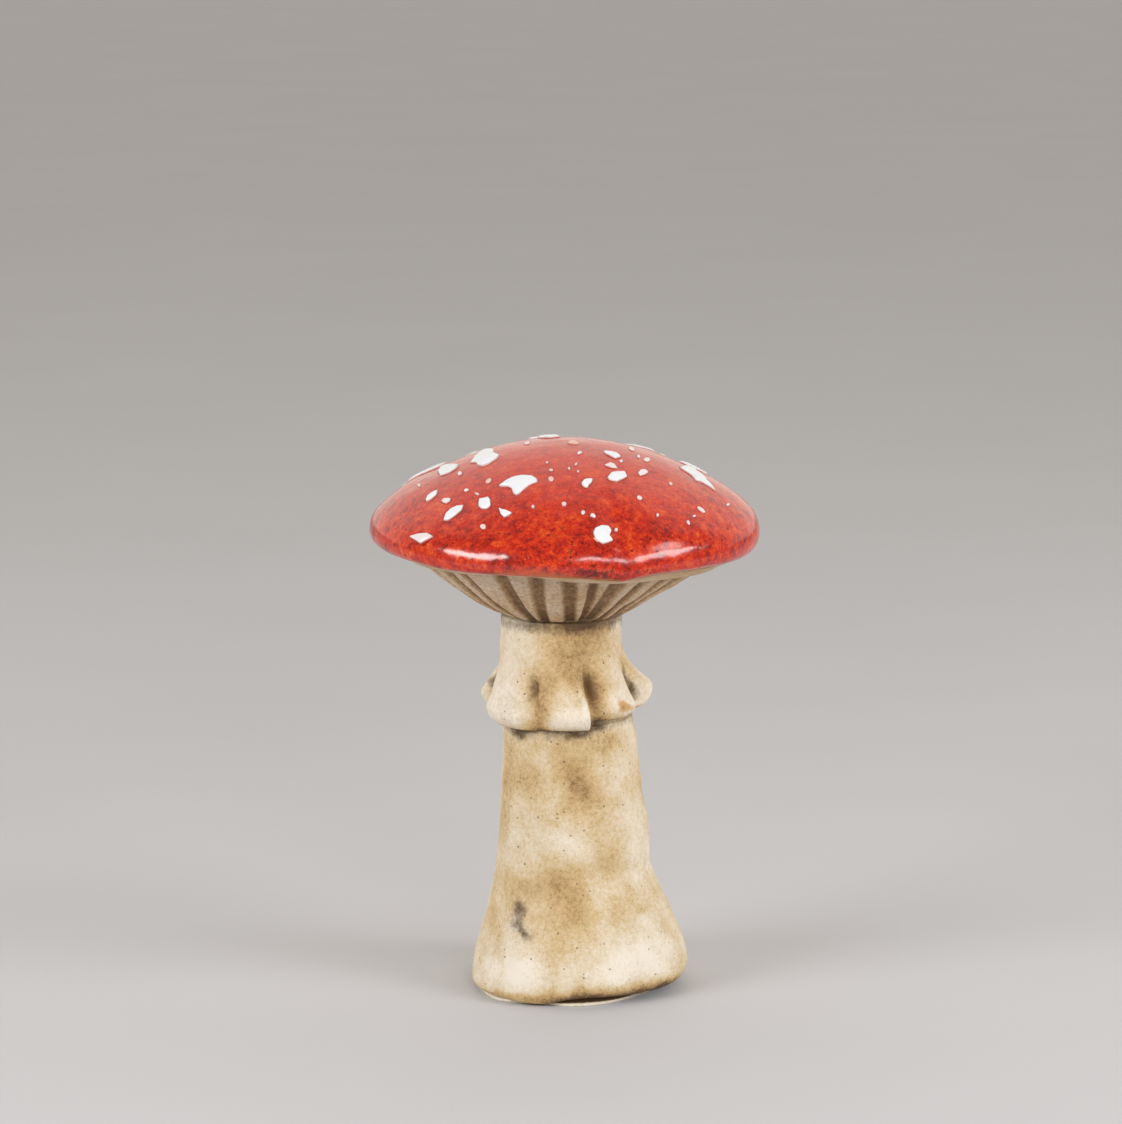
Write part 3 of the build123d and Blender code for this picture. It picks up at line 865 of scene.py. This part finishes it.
def turned_outline(number, azimuth, share, round_size, slope_size, count):
    """Uneven outline at a place on the dome given by azimuth and share of the way to the rim."""
    sweep = math.asin((cap_radius - 2.0) / (crown_radius - 2.0))
    tilt = share * sweep
    turn = math.radians(azimuth)
    out = np.array([math.sin(tilt) * math.sin(turn), -math.sin(tilt) * math.cos(turn), math.cos(tilt)])
    sideways = np.array([math.cos(turn), math.sin(turn), 0.0])
    downhill = np.cross(sideways, out)
    angle = np.linspace(0, 2 * np.pi, count, endpoint=False)[:, None]
    dent = 1 + 0.16 * np.cos(2 * angle + 2 * number) + 0.16 * np.cos(3 * angle + number)
    dent += 0.09 * np.cos(5 * angle + 3 * number)
    flat = dent * (round_size * np.cos(angle) * sideways + slope_size * np.sin(angle) * downhill) / 2
    return crown_middle + crown_radius * unit(crown_radius * out + flat)


def drop_outline(x, y, length, width, tilt, count):
    """Oval outline in pixels of the photo, cast on the dome."""
    angle = np.linspace(0, 2 * np.pi, count, endpoint=False)
    along = 0.42 * length * np.cos(angle)
    across = 0.4 * width * np.sin(angle) * (1 + 0.2 * np.cos(angle + x))
    turn = math.radians(tilt)
    pixels = [x + along * math.cos(turn) - across * math.sin(turn),
              y + along * math.sin(turn) + across * math.cos(turn)]
    return seen_on_crown(np.column_stack(pixels))


def hidden_drops():
    """Seeded places of the small drops on the far side."""
    draw = np.random.default_rng(7)
    drops = []
    for number in range(hidden_drop_count):
        azimuth = draw.uniform(*hidden_drop_range)
        share = 0.94 * math.sqrt(draw.uniform(0.18, 1.0))
        size = hidden_drop_size * draw.uniform(0.6, 1.5)
        drops.append((number, azimuth, share, size * draw.uniform(0.8, 1.3), size))
    return drops


def add_flecks(kind, outlines, thinness):
    """All flecks of one kind as one piece. Thin flecks let the red show through."""
    made = [fleck_skin(outline, fleck_height[kind], fleck_halo[kind]) for outline in outlines]
    thin = [np.full(len(edges), share) for (_, edges), share in zip(made, thinness)]
    add_piece(f"flecks_{kind}", [skin for skin, _ in made], white_glaze, "white_glaze", [f"spots_{kind}"],
              edge=np.concatenate([edges for _, edges in made]), thin=np.concatenate(thin))


def make_flecks():
    """White flecks of three kinds, seen ones where the photo shows them and the rest in the same manner."""
    for kind in ("large", "medium"):
        count = fleck_points[kind]
        outlines = []
        thinness = []
        for title, corners in traced_flecks[kind].items():
            outlines.append(rounded_loop(seen_on_crown(corners), count, fleck_corner))
            thinness.append(thin_flecks.get(title, 0.0))
        for number, spot in enumerate(turned_flecks[kind]):
            outlines.append(turned_outline(number, *spot, count))
            thinness.append(0.0)
        add_flecks(kind, outlines, thinness)
    count = fleck_points["small"]
    drops = [drop_outline(*drop, count) for drop in traced_drops]
    drops += [turned_outline(*drop, count) for drop in hidden_drops()]
    add_flecks("small", drops, np.random.default_rng(8).uniform(0.1, 0.75, len(drops)))


# Gills

def all_grooves():
    """Azimuth at the lip, azimuth at the neck and width of every groove."""
    draw = np.random.default_rng(3)
    grooves = list(front_grooves)
    for azimuth in np.linspace(*hidden_groove_range, hidden_groove_count):
        outer = azimuth + draw.uniform(-2, 2)
        grooves.append((outer, outer + draw.uniform(-4, 4), draw.uniform(1.7, 2.9)))
    return grooves


def make_gills():
    """Gilled underside: a bellied funnel with hand-carved grooves, and its hub round the spigot."""
    azimuth = all_round(gill_turns)
    share = np.linspace(1, 0, gill_levels)[:, None]
    lip_z = flat_lip_z + around(azimuth, lip_lift) + gill_lap
    radius = seam_radius + (lip_radius - gill_inset - seam_radius) * share
    height = seam_z + (lip_z - seam_z) * share ** around(azimuth, gill_belly)
    groove = np.zeros((gill_levels, gill_turns))
    for outer, inner, width in all_grooves():
        centre = inner + (outer - inner) * share**0.7
        apart = np.abs(apart_from(azimuth, centre))
        reach = width / 2 * (0.66 + 0.34 * share)
        cut = 1 - ease((np.radians(apart) * radius / reach - 0.4) / 0.85)
        groove = np.maximum(groove, cut)
    groove *= ease((1 - share) / 0.03) * ease(share / 0.06)
    smooth = place(azimuth, radius, height)
    depth = groove * groove_depth * (0.45 + 0.55 * share)
    depth += 0.12 * lumps(smooth, 2.2, 21)
    inward, upward = math.sin(underside_slope), math.cos(underside_slope)
    outer = place(azimuth, radius - depth * inward, height + depth * upward)
    inner = stack(azimuth, [
        (socket_radius, seam_z), (socket_radius, hub_top_z), (socket_radius + clay_wall, hub_top_z),
        (socket_radius + 1.6 * clay_wall, hub_top_z - 0.6),
        (lip_radius - gill_inset - clay_wall * inward, lip_z + clay_wall * upward),
    ])
    rings = np.concatenate([outer, inner])
    # painted shade under the cap: the gills darker all over and towards the neck; the grooves darker still,
    # stain with painted shade
    wash = 0.34 + 0.54 * groove + 0.08 * (1 - share) + 0.12 * lumps(smooth, 4.0, 22)
    soot = 0.28 + groove * (0.2 + 0.24 * ease((0.6 - share) / 0.6)) + 0.3 * ease((0.1 - share) / 0.1)
    add_rings("gills", rings, gill_clay, "clay", "gill_cone",
              wash=on_outside(wash, rings, 0.3), soot=on_outside(soot, rings))


# Collar

def lobe_values(azimuth):
    """Hem height, belly height, reach and flare height of the frill at azimuths, its fullness, which is 1
    on a lobe and 0 in the valley between two, and the power of its flare."""
    starts, hems, bellies, reaches, valleys, flares, rises, falls, powers = np.array(collar_lobes, float).T
    ends = np.append(starts[1:], starts[0] + 360)
    wrapped = (azimuth - starts[0]) % 360 + starts[0]
    index = np.searchsorted(starts, wrapped, side="right") - 1
    across = (wrapped - starts[index]) / (ends[index] - starts[index])
    fullness = ease(across / rises[index]) * ease((1 - across) / falls[index])

    def lobe_curve(values):
        """Curve that is level across each lobe."""
        places = np.concatenate([starts + 3, ends - 3])
        return around(azimuth, np.column_stack([places, np.tile(values, 2)]), soft=2.0)

    valley = np.where(across < 0.5, valleys[index], np.roll(valleys, -1)[index])
    reach = valley + (reaches[index] - valley) * fullness
    return lobe_curve(hems), lobe_curve(bellies), reach, lobe_curve(flares), fullness, lobe_curve(powers)


def soften(values, times):
    """Values smoothed down the rings, with the first and last ring kept."""
    for _ in range(times):
        values = np.concatenate([values[:1], (values[:-2] + 2 * values[1:-1] + values[2:]) / 4, values[-1:]])
    return values


def collar_marks(azimuth, radius, height, spots, unevenness=0.5):
    """Soft marks on the collar, with uneven outlines."""
    points = place(azimuth, radius, height)
    stray = unevenness * lumps(points, 1.6, 36)
    rise = unevenness * lumps(points, 1.6, 37)
    total = np.zeros_like(radius)
    for centre, up, half_across, half_up, strength in spots:
        aside = np.radians(apart_from(azimuth, centre)) * radius + stray
        total += strength * bell(aside, half_across, height + rise - up, half_up)
    return total


def make_collar():
    """Plain neck that flares into overlapping lobes with a rounded hem."""
    azimuth = all_round(collar_turns)
    hem, belly, reach, flare_z, fullness, power = lobe_values(azimuth)
    share = np.linspace(0, 1, collar_levels)[:, None]
    top_z = collar_top_z + 0.1
    height = top_z - (top_z - hem) * np.sin(share * np.pi / 2)
    neck, shift = read_edges(height, neck_edges, 2.0)
    flare = np.clip((flare_z - height) / (flare_z - belly), 0, 1) ** power
    under = np.clip((belly - height) / (belly - hem), 0, 1)
    hem_radius = hem_least + hem_spread * (reach - hem_least)
    radius = neck + (reach - neck) * flare - (reach - hem_radius) * (1 - np.sqrt(1 - under**2))
    radius = soften(radius, 6)
    pocket = collar_marks(azimuth, radius, height, pockets, unevenness=0.0)
    body = place(azimuth, radius - pocket, height, shift)
    relief = 0.16 * lumps(body, 4.5, 31) + 0.06 * lumps(body, 1.8, 32)
    outer = place(azimuth, radius - pocket + relief, height, shift)
    core_z = np.maximum(hem + 0.3, collar_seat_z + 0.3)
    core_end = stem_top_z + core_lap
    core = stack(azimuth, [
        (core_radius, core_z), (core_radius, core_end),
        (core_radius - 0.2, core_end), (core_radius - 0.2, collar_seat_z),
    ], core_shift)
    socket = stack(azimuth, [(socket_radius, collar_seat_z), (socket_radius, collar_top_z)])
    rings = np.concatenate([outer, core, socket])
    valley = (1 - fullness) * ease((flare_z - height) / 5.0)
    band = bell(height - neck_band_z, 3.4)
    plate = fullness * ease((plate_z - height + 1.2 * lumps(body, 3.0, 34)) / 6.0)
    front = bell(apart_from(azimuth, front_azimuth), front_spread)
    to_seam = apart_from(azimuth, seam_azimuth)
    # the pockets between lobes are darker
    hollow = 0.12 * np.clip(pocket, 0, 1)
    wash = 0.18 + 0.52 * front * (1 - plate) + 0.16 * valley + 0.1 * band - 0.1 * plate
    wash += collar_marks(azimuth, radius, height, collar_washes) + hollow + 0.12 * lumps(body, 5.0, 33)
    # darker towards the hem's lower edge, where it turns under: painted shade and stain
    wash += 0.3 * ease((hem + 0.9 - height) / 0.9)
    # the neck darkens towards the seam: stain and painted shade under the cap
    soot = ease((height - neck_stain_and_shade_z) / 3.4) * (0.42 + 0.36 * bell(to_seam, 26))
    soot += ease((height - neck_stain_and_shade_z - 0.6) / 2.4) * (0.1 + 0.2 * lumps(body, 1.8, 35))
    soot += collar_marks(azimuth, radius, height, collar_dark_marks) + hollow
    # painted shade at the hem's lower edge
    soot += 0.5 * ease((hem + 0.4 - height) / 0.4)
    rust = collar_marks(azimuth, radius, height, collar_rust)
    # the clay under the hem, seen in the gap: painted shade of the gap, with the joint's stain darkest at
    # the seam azimuth
    seam_soot = 0.26 + 0.4 * bell(to_seam, 8)
    add_rings("collar", rings, clay, "clay", "neck_collar", wash=on_outside(wash, rings, 0.46),
              soot=on_outside(soot, rings, seam_soot), rust=on_outside(rust, rings))


# Stem

def stem_section(azimuth, height):
    """Radius of the stem at azimuths and heights, and how far its middle stands from the axis."""
    half_width, middle = read_edges(height, stem_edges, 1.2)
    foot = 1 - ease((height - 1.0) / foot_shape_top)
    shape = 1 + (around(azimuth, foot_shape) - 1) * foot
    roundness = around(azimuth, sole_roundness)
    rise = np.clip((height - apron_z - around(azimuth, apron_lift)) / roundness, 0, 1)
    tuck = roundness * (1 - np.sqrt(1 - (1 - rise) ** 2))
    return half_width * shape - tuck, middle


def front_marks(points, marks):
    """Soft uneven marks on the front of the stem, and the same marks turned over on its back."""
    front = ease(0.5 - points[..., 1] / 8.0)
    aside = points[..., 0] + 0.8 * lumps(points, 2.6, 46) + 0.4 * lumps(points, 1.2, 48)
    height = points[..., 2] + 0.6 * lumps(points, 2.6, 47) + 0.3 * lumps(points, 1.2, 49)
    total = np.zeros(points.shape[:-1])
    for across, up, half_across, half_up, strength in marks:
        near = bell(aside - across, half_across, height - up, half_up)
        far = bell(2 * back_middle - aside - across, half_across, height - up, half_up)
        total += strength * (near * front + far * (1 - front))
    return total


def make_stem():
    """Hollow leaning shaft with a bulbous foot, and the spigot inside the collar."""
    azimuth = all_round(stem_turns)
    share = np.linspace(0, 1, stem_levels)[:, None]
    bottom = apron_z + around(azimuth, apron_lift)
    height = stem_top_z - (stem_top_z - bottom) * (0.7 * share + 0.3 * (1 - (1 - share) ** 3))
    radius, shift = stem_section(azimuth, height)
    body = place(azimuth, radius, height, shift)
    relief = stem_lump * (lumps(body, 8.0, 41) + 0.5 * lumps(body, 3.4, 42) + 0.2 * lumps(body, 1.4, 43))
    relief *= ease((height - bottom) / 2.0) * ease((stem_top_z - height) / 1.0 + 0.4)
    outer = place(azimuth, radius + relief, height, shift)
    sole_edge = np.maximum(bottom + 0.1, sole_z)
    foot = radius[-1]
    sole = stack(azimuth, [
        (foot - apron_lip, bottom + 0.05), (foot - (apron_lip + 0.1), sole_edge),
        (foot - clay_wall, sole_edge),
    ], shift[-1])
    inner_top = stem_top_z - clay_wall
    inner_z = np.clip(height[::-10], np.maximum(bottom + 0.2, sole_z), inner_top)
    inner_radius, inner_shift = stem_section(azimuth, np.clip(inner_z, hollow_foot_z, inner_top))
    inner = place(azimuth, inner_radius - clay_wall, inner_z, inner_shift)
    spigot = stack(azimuth, [
        (spigot_bore, inner_top), (spigot_bore, hub_top_z),
        (spigot_radius, hub_top_z), (spigot_radius, stem_top_z),
    ])
    rings = np.concatenate([outer, sole, inner, spigot])
    wash = 0.32 + front_marks(outer, stem_washes) - front_marks(outer, stem_bare)
    wash += 0.12 * lumps(body, 6.0, 44) + 0.1 * lumps(body, 2.6, 45) - 0.3 * relief
    # the stem darkens right under the hem: painted shade and stain; the dark marks carry painted shade there
    # and along the foot's lower edge
    soot = front_marks(outer, stem_dark_marks) + 0.3 * ease((height - hem_stain_and_shade_z) / 0.7)
    soot = on_outside(soot, rings)
    # painted shade on the sole, in the gap under the foot's lip
    soot[stem_levels:stem_levels + len(sole)] = sole_soot
    add_rings("stem_body", rings, clay, "clay", "stem", wash=on_outside(wash, rings, 0.4), soot=soot)


def make_base():
    """Flat disc under the foot with its vent hole, and the stained slip above it."""
    azimuth = all_round(stem_turns)
    radius, shift = stem_section(azimuth, apron_z + around(azimuth, apron_lift))
    edge = radius - around(azimuth, disc_inset) + 0.05 * lumps(place(azimuth, radius, 0.0), 5.0, 51)
    seat = np.minimum(edge, radius - apron_lip - disc_gap)
    rim = [(edge - inset, height) for inset, height in disc_edge]
    top = [(seat, disc_edge_top), (seat, base_top_z - 0.1), (seat - 0.3, base_top_z)]
    vent = [(vent_radius, base_top_z), (vent_radius, 0.0)]
    disc = stack(azimuth, rim + top + vent, shift)
    shaded = slice(len(rim), len(rim) + len(top))
    # the seat, in the gap under the foot's lip, is painted darker as shade
    wash = np.full(disc.shape[:2], 0.1)
    wash[shaded] = 0.4
    soot = np.zeros(disc.shape[:2])
    soot[shaded] = sole_soot
    add_rings("base_disc", disc, clay, "clay", "base_plate", wash=wash, soot=soot)
    slip_end = np.minimum(radius - clay_wall, seat - 1.0)
    seam = stack(azimuth, [
        (seat - 0.2, base_top_z), (seat - 0.2, sole_z), (slip_end, sole_z), (slip_end, base_top_z),
    ], shift)
    add_rings("base_seam", seam, slip, "slip", "base_slip")


make_glaze()
make_cap_shell()
make_lip()
make_flecks()
make_gills()
make_collar()
make_stem()
make_base()
for node in ("neck_slip", "collar_slip"):
    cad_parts[node].material_slots[0].material = slip


# Studio

def add_camera():
    """Camera at the photo's angle."""
    data = bpy.data.cameras.new("camera")
    data.sensor_fit = "HORIZONTAL"
    data.sensor_width = sensor_width
    data.lens = sensor_width * focal_pixels / photo_width
    data.clip_end = 20.0
    camera = add_object("camera", data)
    camera.location = (camera_place * mm).tolist()
    camera.rotation_euler = (math.pi / 2 - camera_pitch, 0.0, 0.0)
    bpy.context.scene.camera = camera


def add_window(name, azimuth, elevation, width, height, power):
    """Soft oval lamp that faces the middle of the ornament."""
    data = bpy.data.lights.new(name, "AREA")
    data.shape = "ELLIPSE"
    data.size = width
    data.size_y = height
    data.energy = power
    lamp = add_object(name, data)
    climb = math.radians(elevation)
    turn = math.radians(azimuth)
    level = window_distance * math.cos(climb)
    rise = window_distance * math.sin(climb)
    lamp.location = (level * math.sin(turn), -level * math.cos(turn), window_aim + rise)
    lamp.rotation_euler = (math.pi / 2 - climb, 0.0, turn)


def add_floor():
    """Plain pale table that runs out of sight."""
    mesh = bpy.data.meshes.new("floor")
    corners = [(x * table_half, y * table_half, 0.0) for x, y in ((-1, -1), (1, -1), (1, 1), (-1, 1))]
    mesh.from_pydata(corners, [], [(0, 1, 2, 3)])
    material = bpy.data.materials.new("pale_table")
    shader = Shader(material)
    shader.colour = srgb(199, 199, 203)
    shader.paint(shader.noise(0.01, detail=3.0), (206, 206, 210))
    shader.dress(0.7)
    mesh.materials.append(material)
    floor = add_object("floor", mesh)


def set_world():
    """Even pale surroundings, brighter behind than overhead."""
    world = bpy.data.worlds.new("studio")
    shader = Shader(world, "Background")
    behind = shader.add("ShaderNodeSeparateXYZ", {0: shader.space.node.outputs["Generated"]}, "Y")
    strength = shader.between(behind, 0.05, 0.6, 0.3, 1.05)
    shader.give({"Color": srgb(252, 245, 234), "Strength": strength})
    bpy.context.scene.world = world


add_camera()
for name, window in windows.items():
    add_window(name, *window)
add_floor()
set_world()
bpy.context.scene.view_settings.view_transform = "Standard"
